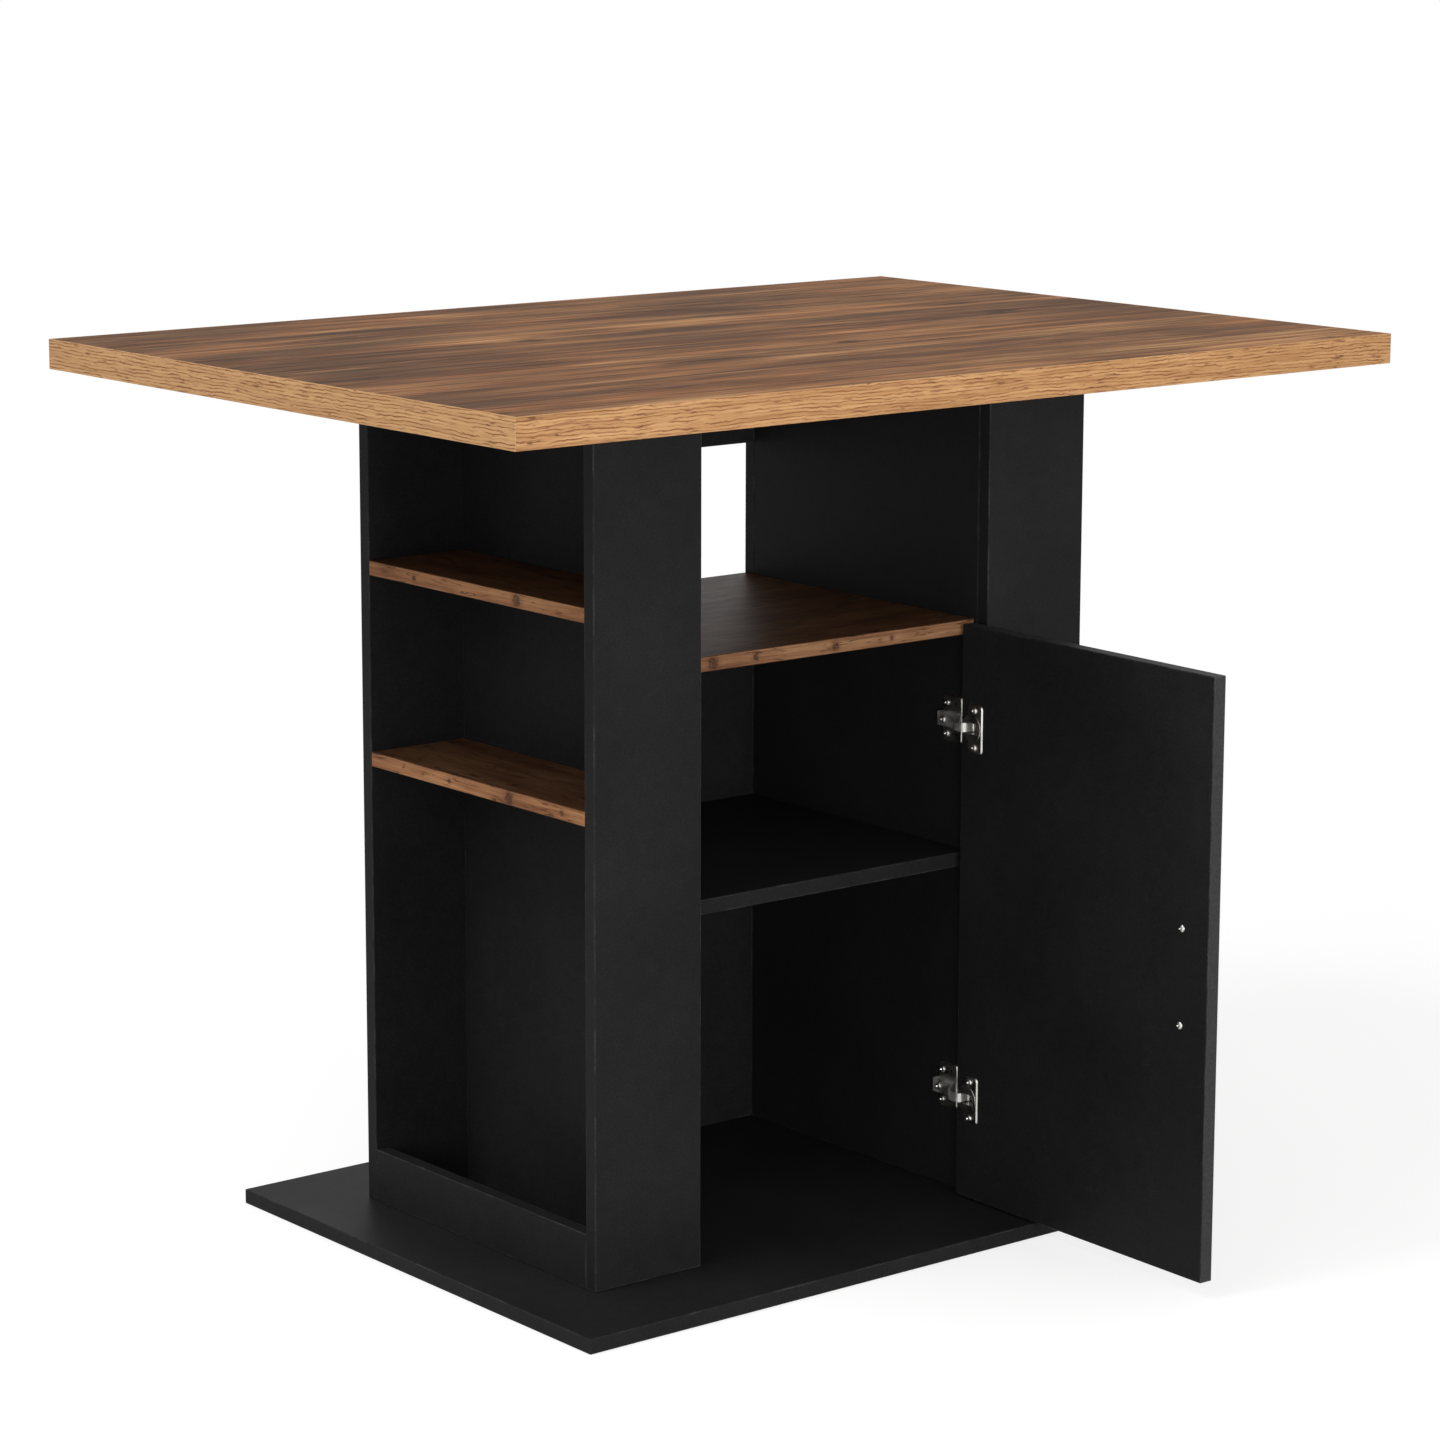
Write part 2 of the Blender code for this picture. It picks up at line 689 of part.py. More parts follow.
def make_hinge_cup(name, height, axis, finishes, fasteners):
    centre = from_hinge_edge(CUP_FROM_EDGE)
    floor = -(EYE_RADIUS + EYE_CLEARANCE)
    face = PIN_DEPTH + SEAT
    top = face + FLANGE_THICKNESS

    def on_door(u, v, out):
        return Vector((u, out, height + v))

    bm = bmesh.new()
    low = (from_hinge_edge(FLANGE_FAR_EDGE), -FLANGE_HALF_HEIGHT)
    high = (from_hinge_edge(FLANGE_NEAR_EDGE), FLANGE_HALF_HEIGHT)
    add_bevelled_plate(bm, low, high, FLANGE_CORNER, FLANGE_BEVEL, on_door, face, top)
    made = mesh_object(name, bm, finishes["steel"], axis)

    bm = bmesh.new()
    wall = CUP_RADIUS + FLANGE_RIM
    profile = [
        (CUP_RADIUS, floor - CUP_FLOOR),
        (CUP_RADIUS, face + SEAT),
        (wall, face + SEAT),
        (wall, top + SEAT / 3),
        (wall - SEAT, top + SEAT),
    ]
    add_turned(bm, (centre, 0, height), (0, 1, 0), profile, CUP_SIDES)
    combine(made, name + "_bowl", bm, "UNION")

    bm = bmesh.new()
    pocket = rounded_rectangle(
        (centre - POCKET_HALF_LENGTH, -POCKET_HALF_HEIGHT),
        (centre + POCKET_HALF_LENGTH, POCKET_HALF_HEIGHT),
        POCKET_CORNER,
    )
    add_prism(bm, pocket, on_door, floor, top + FLANGE_THICKNESS)
    combine(made, name + "_pocket", bm, "DIFFERENCE")

    bm = bmesh.new()
    add_rod(
        bm, (0, 0, height), (0, 0, 1), PIN_RADIUS + SEAT, -CUP_RADIUS, CUP_RADIUS, SCREW_SIDES
    )
    combine(made, name + "_pin_bore", bm, "DIFFERENCE")
    low = (from_hinge_edge(FLANGE_FAR_EDGE), face, height - FLANGE_HALF_HEIGHT)
    high = (PIN_FROM_EDGE, top, height + FLANGE_HALF_HEIGHT)
    bore(made, fasteners, low, high)
    shade_round(made)


def make_hinge_pin(name, height, axis, finishes):
    bm = bmesh.new()
    ends = (-PIN_HALF_LENGTH, PIN_HALF_LENGTH)
    add_rod(bm, (0, 0, height), (0, 0, 1), PIN_RADIUS, *ends, SCREW_SIDES)
    shade_round(mesh_object(name, bm, finishes["steel"], axis))


def arm_web():
    """The outer face of the arm's web above the mounting plate, and its inner face."""
    inner = HALF_OPENING - SEAT - PLATE_THICKNESS - SADDLE_HEIGHT - SEAT
    return inner - NECK_THICKNESS, inner


def arm_screws():
    """The screw that fixes each arm to the saddle of its mounting plate."""
    made = []
    for hinge, height in HINGE_HEIGHTS.items():
        origin = (arm_web()[0] - SEAT, INNER_FRONT + FIXING_SCREW_PLACE, height)
        name = hinge + "_arm_screw"
        made.append(small_screw(name, "arm_screws", origin, (1, 0, 0), FIXING_SCREW))
    return made


def make_hinge_arm(name, height, finishes, fasteners):
    """A strip that leaves the mounting plate, cranks inwards and hooks round the pin."""
    half_strip = NECK_THICKNESS / 2
    outer_face, inner_face = arm_web()
    rear = (inner_face + outer_face) / 2
    neck = PIN_X - PIN_DEPTH - SEAT - FLANGE_THICKNESS - NECK_CLEARANCE - half_strip
    crank = INNER_FRONT + NECK_REACH
    corners = (
        (rear, INNER_FRONT + ARM_REAR, height),
        (rear, crank + CRANK_LENGTH, height),
        (neck, crank, height),
        (neck, PIN_Y, height),
        (PIN_X, PIN_Y, height),
    )
    path = rounded_path(corners, ARM_BEND)

    def section(i):
        share = (path[i].y - crank) / CRANK_LENGTH
        share = max(0.0, min(1.0, share))
        half = NECK_HALF_HEIGHT + (ARM_HALF_HEIGHT - NECK_HALF_HEIGHT) * share
        return ((-half_strip, -half), (half_strip, -half), (half_strip, half), (-half_strip, half))

    bm = bmesh.new()
    add_sweep(bm, path, (0, 0, 1), section)
    made = mesh_object(name, bm, finishes["steel"])

    bm = bmesh.new()
    cheek_inner = SADDLE_HALF_HEIGHT + SEAT
    foot = HALF_OPENING - SEAT - PLATE_THICKNESS - CHEEK_GAP
    outline = (
        (rear, INNER_FRONT + ARM_REAR - SEAT),
        (rear, crank + CRANK_LENGTH),
        (foot, INNER_FRONT + SADDLE_FRONT),
        (foot, INNER_FRONT + ARM_REAR - SEAT),
    )
    for sign in (-1, 1):
        low, high = between(sign * cheek_inner, sign * (cheek_inner + CHEEK_THICKNESS))
        add_prism(bm, outline, lambda u, v, out: Vector((u, v, height + out)), low, high)
    combine(made, name + "_cheeks", bm, "UNION")

    bm = bmesh.new()
    add_rod(
        bm, (PIN_X, PIN_Y, height), (0, 0, 1), EYE_RADIUS, -EYE_HALF_HEIGHT, EYE_HALF_HEIGHT, EYE_SIDES
    )
    combine(made, name + "_eye", bm, "UNION")

    bm = bmesh.new()
    add_rod(
        bm, (PIN_X, PIN_Y, height), (0, 0, 1), PIN_RADIUS + SEAT, -CUP_RADIUS, CUP_RADIUS, SCREW_SIDES
    )
    combine(made, name + "_pin_bore", bm, "DIFFERENCE")
    low = (outer_face, INNER_FRONT, height - ARM_HALF_HEIGHT)
    high = (inner_face, INNER_FRONT + ARM_REAR, height + ARM_HALF_HEIGHT)
    bore(made, fasteners, low, high)


def make_mounting_plate(name, height, finishes, fasteners):
    """A flat plate with a raised saddle, which the arm straddles."""
    face = HALF_OPENING - SEAT
    top = face - PLATE_THICKNESS
    saddle = top - SADDLE_HEIGHT

    def on_divider(u, v, out):
        return Vector((out, INNER_FRONT + u, height + v))

    bm = bmesh.new()
    low = (PLATE_FRONT, -PLATE_HALF_HEIGHT)
    high = (PLATE_REAR, PLATE_HALF_HEIGHT)
    add_bevelled_plate(bm, low, high, PLATE_CORNER, PLATE_BEVEL, on_divider, face, top)
    made = mesh_object(name, bm, finishes["steel"])

    bm = bmesh.new()
    outline = (
        (SADDLE_FRONT, -SADDLE_HALF_HEIGHT),
        (SADDLE_REAR, -SADDLE_HALF_HEIGHT),
        (SADDLE_REAR, SADDLE_HALF_HEIGHT),
        (SADDLE_FRONT, SADDLE_HALF_HEIGHT),
    )
    add_prism(bm, outline, on_divider, saddle, (top + face) / 2)
    combine(made, name + "_saddle", bm, "UNION")

    bm = bmesh.new()
    for step in HIGH_LOW.values():
        origin = on_divider(PLATE_SPARE_HOLE_PLACE, step * PLATE_SCREW_SPACING, top)
        ends = (-PLATE_THICKNESS, PLATE_THICKNESS * 2)
        add_rod(bm, origin, (1, 0, 0), PLATE_SCREW[2] + SEAT, *ends, SCREW_SIDES)
    combine(made, name + "_spare_holes", bm, "DIFFERENCE")
    low = (saddle, INNER_FRONT + PLATE_FRONT, height - PLATE_HALF_HEIGHT)
    high = (face, INNER_FRONT + PLATE_REAR, height + PLATE_HALF_HEIGHT)
    bore(made, fasteners, low, high)


def make_cam_fittings(pairs, finishes):
    """Each cam has a way in for the head of its bolt."""
    for bolt, lock in pairs:
        bolt.make(finishes["zinc"])
        made = lock.make(finishes["zinc"])
        radius, start, end = bolt.bores[0]
        bm = bmesh.new()
        add_rod(bm, bolt.origin, bolt.axis, radius + SEAT, start, end + SEAT, bolt.sides)
        combine(made, lock.name + "_way", bm, "DIFFERENCE")


def make_screws(fasteners, material, parent=None):
    for item in fasteners:
        if item.profile:
            item.make(material, parent)


def main():
    clear_scene()
    finishes = make_finishes()
    cams = cam_fittings()
    to_base = base_screws()
    pins = shelf_pins()
    to_divider = plate_screws()
    to_saddle = arm_screws()
    carcass = to_base + pins + to_divider + [item for pair in cams for item in pair]

    make_base(finishes, carcass)
    for name, side in SIDES.items():
        make_tower(name, side, finishes, carcass)
    make_cupboard(finishes, carcass)
    make_worktop(finishes, carcass)
    make_cam_fittings(cams, finishes)
    make_screws(to_base, finishes["zinc"])
    make_screws(pins + to_divider + to_saddle, finishes["steel"])

    axis = make_door_axis()
    on_door = door_fasteners()
    make_door_panel(axis, finishes, on_door)
    make_handle(axis, finishes, on_door)
    make_screws(on_door, finishes["steel"], axis)
    for name, height in HINGE_HEIGHTS.items():
        make_hinge_cup(name + "_hinge_cup", height, axis, finishes, on_door)
        make_hinge_pin(name + "_hinge_pin", height, axis, finishes)
        make_hinge_arm(name + "_hinge_arm", height, finishes, to_saddle)
        make_mounting_plate(name + "_mounting_plate", height, finishes, to_divider + to_saddle)


main()
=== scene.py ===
import math

import bpy
import bmesh
from mathutils import Matrix, Vector


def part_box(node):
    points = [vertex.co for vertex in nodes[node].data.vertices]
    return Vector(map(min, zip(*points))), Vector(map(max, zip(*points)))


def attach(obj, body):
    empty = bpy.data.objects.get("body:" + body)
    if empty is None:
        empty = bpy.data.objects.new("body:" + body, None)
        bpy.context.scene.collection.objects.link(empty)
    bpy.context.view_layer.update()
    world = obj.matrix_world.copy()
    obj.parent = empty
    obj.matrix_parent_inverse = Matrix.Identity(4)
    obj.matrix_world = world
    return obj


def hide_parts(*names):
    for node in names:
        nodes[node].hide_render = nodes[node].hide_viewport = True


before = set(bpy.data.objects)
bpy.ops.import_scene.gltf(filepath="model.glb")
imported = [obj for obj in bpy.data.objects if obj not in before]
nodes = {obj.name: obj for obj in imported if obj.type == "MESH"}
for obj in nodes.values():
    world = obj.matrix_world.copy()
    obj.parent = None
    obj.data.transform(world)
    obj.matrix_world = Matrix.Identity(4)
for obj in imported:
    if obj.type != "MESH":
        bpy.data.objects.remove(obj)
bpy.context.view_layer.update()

# Camera at the photograph's viewpoint: place in metres, angles in radians, lens in millimetres
CAMERA_PLACE = (-2.6986, -3.3393, 1.3604)
CAMERA_YAW = 0.6737
CAMERA_PITCH = 0.1867
CAMERA_ROLL = 0.0015
CAMERA_LENS = 107.408
CAMERA_SENSOR = 36.0
CAMERA_SHIFT_X = 0.0145
CAMERA_SHIFT_Y = -0.0278

# Floor and background
WHITE = (1.0, 1.0, 1.0, 1.0)
WHITE_STRENGTH = 1.0
WORLD_LIGHT = 0.44
FLOOR_HALF_SIZE = 9.0
FLOOR_DROP = 0.0004
FLOOR_COLOUR = (0.42, 0.42, 0.42, 1.0)
FLOOR_GLOW = 0.72
FLOOR_ROUGHNESS = 0.7
FLOOR_TRUE_RADIUS = 0.9
FLOOR_WHITE_RADIUS = 2.6

# Lamps: place, target, size and power in watts
LAMPS = {
    "key_lamp": ((0.2, -3.4, 1.0), (0.0, 0.0, 0.5), 1.6, 28.0),
    "low_lamp": ((0.0, -2.6, 0.55), (0.0, 0.0, 0.7), 1.0, 9.0),
    "front_lamp": ((-2.3, -3.4, 0.75), (0.0, 0.0, 0.5), 1.2, 34.0),
    "left_lamp": ((-5.1, -1.3, 4.0), (0.0, 0.0, 0.8), 2.6, 36.0),
    "upper_lamp": ((-4.2, 0.66, 6.4), (0.0, 0.0, 0.85), 2.2, 176.0),
}

# Directions that inner faces look in, with the door open as at rest
DOOR_OPEN_ANGLE = math.radians(88.7)
DOOR_INNER = Vector((-math.sin(DOOR_OPEN_ANGLE), math.cos(DOOR_OPEN_ANGLE), 0.0))
DIVIDER_INNER = Vector((-1.0, 0.0, 0.0))

# Screws: head radius, head height, shank radius and shank length in metres
HANDLE_SCREW = (0.0040, 0.0022, 0.0019, 0.0220)
CUP_SCREW = (0.0036, 0.0018, 0.0016, 0.0100)
PLATE_SCREW = (0.0036, 0.0018, 0.0016, 0.0110)
ARM_SCREW = (0.0038, 0.0020, 0.0018, 0.0060)

# Screw heads: dome as shares of radius and height, then the cross recess as shares of the head
SCREW_DOME = ((0.45, 0.95), (0.75, 0.76), (0.93, 0.46), (1.0, 0.16), (1.0, 0.0))
SCREW_SIDES = 28
SCREW_CREASE = math.radians(40)
SHANK_STRAIGHT = 0.86
RECESS_LENGTH = 0.62
RECESS_FLOOR_LENGTH = 0.45
RECESS_WIDTH = 0.15
RECESS_FLOOR = 0.30
RECESS_TOP = 1.2
RECESS_TURN = math.radians(20)
RECESS_CORNERS = ((-1, -1), (1, -1), (1, 1), (-1, 1))

# How squarely a face has to look along an axis to count as facing it, and the middle of soft noise
FACING_LIMIT = 0.6
NOISE_MIDDLE = 0.5

# Places of a colour mixer's factor, its two colours and its result
MIX_INPUTS = (0, 6, 7)
MIX_RESULT = 2

# Staves of the worktop: far edge as a share of its depth from the front, and tone from dark to light
WORKTOP_FRONT = -0.3925
WORKTOP_DEPTH = 0.785
STAVES = (
    (0.105, 0.67), (0.235, 0.37), (0.375, 0.60), (0.605, 0.36), (0.625, 0.64),
    (0.730, 0.56), (0.850, 0.44), (1.000, 0.58),
)
STAVE_SPREAD = 61.0
STAVE_SWAY = 0.030
JOINT_FRAY = 0.050
LENGTH_DRIFT = 0.20

# Worktop laminate: weights of its marks, then its colours as display values
BOARD_WEIGHT = 0.85
STREAK_WEIGHT = 1.75
THREAD_WEIGHT = 1.35
CLOUD_WEIGHT = 0.75
CAST_WEIGHT = 0.9
FIBRE_WEIGHT = 0.85
FLAW_DEPTH = 0.8
KNOT_FRAY = 0.14
WORKTOP_TONES = (
    (0.00, (84, 62, 47)), (0.26, (107, 78, 58)), (0.48, (131, 94, 66)),
    (0.70, (164, 117, 80)), (1.00, (200, 154, 109)),
)
WORKTOP_CASTS = ((0.35, (0.94, 1.00, 1.00, 1.0)), (0.65, (1.10, 0.97, 0.89, 1.0)))
WORKTOP_FIBRES = ((0.34, (0.62, 0.59, 0.56, 1.0)), (0.62, (1.15, 1.14, 1.13, 1.0)))
WORKTOP_FLECK = (210, 158, 108)
WORKTOP_FLAW = (56, 40, 31)
WORKTOP_KNOT = (58, 42, 33)
WORKTOP_SHINE = 0.006

# Edge band: pitch and bends of its grain lines in metres, the painted light that makes its short sides
# lighter, then its colours as display values
LINE_PITCH = 0.0033
RIPPLE_HEIGHT = 0.0030
SWAY_HEIGHT = 0.0080
SHORT_SIDE_PAINTED_LIGHT = 0.13
BAND_TONES = (
    (0.28, (157, 108, 68)), (0.45, (186, 138, 90)), (0.56, (202, 154, 105)), (0.74, (218, 170, 117)),
)
BAND_LINE = (130, 80, 47)
BAND_PORE = (104, 62, 38)
BAND_SHINE = 0.20

# Shelves: painted shade darkens the faces against the edges, and the edges are lit and shaded copies,
# with painted light making the tower shelves' edges lighter than the centre one's, which carries painted
# shade
SHELF_FACE_PAINTED_SHADE = (0.26, 0.28, 0.31, 1.0)
TOWER_EDGE_PAINTED_LIGHT = (0.93, 0.97, 1.02, 1.0)
CENTRE_EDGE_PAINTED_SHADE = (0.66, 0.75, 0.88, 1.0)
SHELF_WANDER = 0.008
SHELF_STREAK_WEIGHT = 0.62
SHELF_CLOUD_WEIGHT = 0.38
SHELF_FIBRE_WEIGHT = 0.85
SHELF_TONES = (
    (0.28, (112, 72, 48)), (0.41, (148, 98, 65)), (0.50, (174, 120, 80)),
    (0.59, (190, 136, 93)), (0.76, (210, 162, 118)),
)
SHELF_FIBRES = ((0.3, (0.70, 0.66, 0.62, 1.0)), (0.6, (1.05, 1.05, 1.05, 1.0)))
SHELF_SCAR = (70, 42, 28)
SHELF_KNOT = (46, 29, 21)
SHELF_HALO = (108, 68, 44)
SHELF_SHINE = 0.08

# Knots in the shelf edges: share of the edge's length and radius in metres
UPPER_KNOTS = ((0.70, 0.0064), (0.22, 0.0030))
LOWER_KNOTS = ((0.66, 0.0066), (0.90, 0.0026), (0.38, 0.0024))
CENTRE_KNOTS = ((0.080, 0.0064), (0.225, 0.0036), (0.500, 0.0042), (0.700, 0.0026))
KNOT_RAGGEDNESS = 1.9

# Black boards: tones as display values, gloss, rubbed edges, and a painted highlight as a lighter colour
# on the door's edges
MELAMINE_TONES = ((0.3, (32, 32, 33)), (0.7, (38, 38, 39)))
MELAMINE_ROUGHNESS = (0.45, 0.51)
MELAMINE_SHINE = 0.045
MOTTLE_WEIGHT = 0.5
WEAR_RADIUS = 0.0024
WEAR_SAMPLES = 6
WEAR_COLOUR = (0.150, 0.150, 0.153, 1.0)
DOOR_EDGE_PAINTED_HIGHLIGHT = (0.044, 0.044, 0.045, 1.0)

# Metals: colour as display values, roughness, and 1 for bare metal or 0 for a coat of paint
METALS = {
    "nickel_plate": ((205, 203, 198), 0.30, 1.0),
    "satin_nickel": ((214, 212, 208), 0.50, 1.0),
    "zinc_alloy": ((178, 178, 176), 0.34, 1.0),
    "black_metal": ((40, 40, 41), 0.36, 0.0),
}
METAL_SMEAR_SHADE = 0.82
METAL_SMOOTHEST = 0.8
METAL_ROUGHEST = 1.3


def linear(channel):
    """The linear value of one display channel from 0 to 255."""
    share = channel / 255.0
    if share <= 0.04045:
        return share / 12.92
    return ((share + 0.055) / 1.055) ** 2.4


def colour(red, green, blue):
    """A linear colour with full alpha from display values."""
    return (linear(red), linear(green), linear(blue), 1.0)


def palette(stops):
    """Stops of position and linear colour from stops of position and display values."""
    return [(position, colour(*shade)) for position, shade in stops]


class Tree:
    """A node tree whose nodes are added and joined by short calls."""

    def __init__(self, tree):
        self.tree = tree
        self.tree.nodes.clear()

    def feed(self, socket, value):
        """Joins a socket to another one, or sets it to a plain value."""
        if isinstance(value, bpy.types.NodeSocket):
            self.tree.links.new(value, socket)
        else:
            socket.default_value = value

    def add(self, kind, inputs=None, **settings):
        """One node with its inputs fed and its settings made."""
        node = self.tree.nodes.new(kind)
        for key, value in settings.items():
            setattr(node, key, value)
        for key, value in (inputs or {}).items():
            self.feed(node.inputs[key], value)
        return node

    def math(self, operation, first, second=0.0):
        """The result of an operation on one or two values."""
        return self.add("ShaderNodeMath", {0: first, 1: second}, operation=operation).outputs[0]

    def seen(self):
        """1 for rays from the eye, off gloss and through glass, and 0 for all other light."""
        ray = self.add("ShaderNodeLightPath").outputs
        shown = self.math("MAXIMUM", ray["Is Camera Ray"], ray["Is Glossy Ray"])
        return self.math("MAXIMUM", shown, ray["Is Transmission Ray"])


class Shader(Tree):
    """The node tree of a new material."""

    def __init__(self, name):
        self.material = bpy.data.materials.new(name)
        self.material.use_nodes = True
        super().__init__(self.material.node_tree)

    def swing(self, marks, width):
        """Noise from 0 to 1 turned into a swing of some width about 0."""
        return self.math("MULTIPLY", self.math("SUBTRACT", marks, NOISE_MIDDLE), width)

    def either(self, share, first, second):
        """The first value where a share is 0, and the second where it is 1."""
        kept = self.math("MULTIPLY", first, self.math("SUBTRACT", 1.0, share))
        return self.math("ADD", kept, self.math("MULTIPLY", second, share))

    def faces(self, component):
        """1 where a component of the normal says that a face looks along its axis, and 0 elsewhere."""
        return self.math("GREATER_THAN", self.math("ABSOLUTE", component), FACING_LIMIT)

    def place(self):
        """Where a point is on the object, in metres."""
        return self.add("ShaderNodeTexCoord").outputs["Object"]

    def normal(self):
        """Which way a point on the object faces."""
        return self.add("ShaderNodeTexCoord").outputs["Normal"]

    def parts(self, vector):
        """The three components of a vector."""
        return self.add("ShaderNodeSeparateXYZ", {0: vector}).outputs

    def joined(self, *parts):
        """A vector from its components."""
        return self.add("ShaderNodeCombineXYZ", dict(enumerate(parts))).outputs[0]

    def stretched(self, place, scale, shift=(0.0, 0.0, 0.0)):
        """A place scaled apart along each axis and then moved."""
        inputs = {0: place, 1: scale, 2: shift}
        return self.add("ShaderNodeVectorMath", inputs, operation="MULTIPLY_ADD").outputs[0]

    def measure(self, operation, first, second=(0.0, 0.0, 0.0)):
        """The number that an operation on one or two vectors gives."""
        inputs = {0: first, 1: second}
        return self.add("ShaderNodeVectorMath", inputs, operation=operation).outputs["Value"]

    def noise(self, place, scale, detail=2.0, rough=0.5, shift=(0.0, 0.0, 0.0), distortion=0.0):
        """Soft noise from 0 to 1, with a scale in waves per metre along each axis."""
        inputs = {
            "Vector": self.stretched(place, scale, shift), "Scale": 1.0, "Detail": detail,
            "Roughness": rough, "Distortion": distortion,
        }
        return self.add("ShaderNodeTexNoise", inputs).outputs[0]

    def ramp(self, factor, stops, kind="LINEAR"):
        """A colour from a factor through stops of position and colour."""
        node = self.add("ShaderNodeValToRGB", {"Fac": factor})
        node.color_ramp.interpolation = kind
        elements = node.color_ramp.elements
        while len(elements) < len(stops):
            elements.new(1.0)
        for element, (position, stop) in zip(elements, stops):
            element.position = position
            element.color = stop
        return node.outputs[0]

    def span(self, value, source, target):
        """A value spread smoothly from one range to another, and held at its ends."""
        inputs = {
            "Value": value, "From Min": source[0], "From Max": source[1],
            "To Min": target[0], "To Max": target[1],
        }
        return self.add("ShaderNodeMapRange", inputs, interpolation_type="SMOOTHSTEP").outputs[0]

    def mix(self, factor, first, second, blend="MIX"):
        """Two colours mixed by a factor."""
        inputs = dict(zip(MIX_INPUTS, (factor, first, second)))
        node = self.add("ShaderNodeMix", inputs, data_type="RGBA", blend_type=blend)
        return node.outputs[MIX_RESULT]

    def shade(self, base, tint, weight=1.0):
        """A colour multiplied by a tint."""
        return self.mix(weight, base, tint, "MULTIPLY")

    def bump(self, height, strength, distance):
        """A surface normal raised by a height."""
        inputs = {"Height": height, "Strength": strength, "Distance": distance}
        return self.add("ShaderNodeBump", inputs).outputs[0]

    def end(self, surface):
        """The material, with a surface joined to its output."""
        self.add("ShaderNodeOutputMaterial", {0: surface.outputs[0]})
        return self.material

    def finish(self, **inputs):
        """The material with a principled surface."""
        spaced = {key.replace("_", " "): value for key, value in inputs.items()}
        return self.end(self.add("ShaderNodeBsdfPrincipled", spaced))


def stave_tones(shader, across, streaks):
    """The tone of each stave across the worktop, with joints frayed by the grain."""
    frayed = shader.math("ADD", across, shader.swing(streaks, JOINT_FRAY))
    share = shader.math("DIVIDE", shader.math("SUBTRACT", frayed, WORKTOP_FRONT), WORKTOP_DEPTH)
    stops = []
    start = 0.0
    for end, tone in STAVES:
        stops.append((start, (tone, tone, tone, 1.0)))
        start = end
    return shader.ramp(share, stops, "CONSTANT")


def worktop_knots(shader, bent):
    """Where dark knots lie in the worktop, from 0 to nearly 1."""
    cells = shader.add("ShaderNodeTexVoronoi", {
        "Vector": shader.stretched(bent, scale=(3.2, 7.0, 1.0), shift=(0.4, 0.9, 0.0)),
        "Scale": 1.0, "Randomness": 1.0,
    })
    ragged = shader.noise(bent, scale=(70.0, 160.0, 1.0), detail=3.0, rough=0.65)
    reach = shader.math("ADD", cells.outputs["Distance"], shader.math("MULTIPLY", ragged, KNOT_FRAY))
    return shader.span(reach, (0.10, 0.18), (0.85, 0.0))


def make_worktop_wood():
    """Old-wood laminate in wide staves along the worktop, with soft ragged joints."""
    shader = Shader("worktop_laminate")
    place = shader.place()
    parts = shader.parts(place)
    sway = shader.noise(place, scale=(1.3, 4.0, 1.0), shift=(2.0, 5.0, 0.0))
    across = shader.math("ADD", parts[1], shader.swing(sway, STAVE_SWAY))
    bent = shader.joined(parts[0], across, parts[2])
    streaks = shader.noise(bent, scale=(2.3, 36.0, 1.0), detail=6.0, rough=0.62, distortion=0.5)
    stave = stave_tones(shader, across, streaks)
    length = shader.joined(parts[0], shader.math("MULTIPLY", stave, STAVE_SPREAD))
    boards = shader.noise(length, scale=(3.1, 1.0, 1.0), detail=1.0)
    clouds = shader.noise(
        bent, scale=(3.0, 12.0, 1.0), detail=3.0, shift=(4.0, 1.0, 0.0), distortion=0.4,
    )
    threads = shader.noise(
        bent, scale=(4.6, 96.0, 1.0), detail=5.0, rough=0.66, shift=(1.0, 8.0, 0.0), distortion=0.3,
    )
    marks = (
        (boards, BOARD_WEIGHT), (streaks, STREAK_WEIGHT),
        (threads, THREAD_WEIGHT), (clouds, CLOUD_WEIGHT),
    )
    tone = shader.math("ADD", stave, shader.math("MULTIPLY", parts[0], LENGTH_DRIFT))
    for mark, weight in marks:
        tone = shader.math("ADD", tone, shader.swing(mark, weight))
    base = shader.ramp(tone, palette(WORKTOP_TONES))
    hue = shader.noise(bent, scale=(1.8, 16.0, 1.0), detail=3.0, rough=0.6, shift=(7.0, 3.0, 0.0))
    tinted = shader.shade(base, shader.ramp(hue, WORKTOP_CASTS), CAST_WEIGHT)
    fibre = shader.noise(bent, scale=(7.0, 420.0, 1.0), detail=5.0, rough=0.70)
    grained = shader.shade(tinted, shader.ramp(fibre, WORKTOP_FIBRES), FIBRE_WEIGHT)
    flecks = shader.noise(
        bent, scale=(4.0, 105.0, 1.0), detail=4.0, rough=0.62, shift=(5.3, 1.7, 0.0), distortion=0.2,
    )
    flecked = shader.mix(shader.span(flecks, (0.56, 0.74), (0.0, 0.50)), grained, colour(*WORKTOP_FLECK))
    flaws = shader.noise(
        bent, scale=(6.5, 105.0, 1.0), detail=4.0, rough=0.64, shift=(2.7, 0.0, 3.1), distortion=0.3,
    )
    flaw = shader.span(flaws, (0.55, 0.68), (0.0, 0.82))
    worn = shader.mix(flaw, flecked, colour(*WORKTOP_FLAW))
    knotted = shader.mix(worktop_knots(shader, bent), worn, colour(*WORKTOP_KNOT))
    rough = shader.span(fibre, (0.3, 0.7), (0.52, 0.42))
    height = shader.math("SUBTRACT", fibre, shader.math("MULTIPLY", flaw, FLAW_DEPTH))
    relief = shader.bump(height, strength=0.18, distance=0.0004)
    return shader.finish(
        Base_Color=knotted, Roughness=rough, Normal=relief, Specular_IOR_Level=WORKTOP_SHINE,
    )


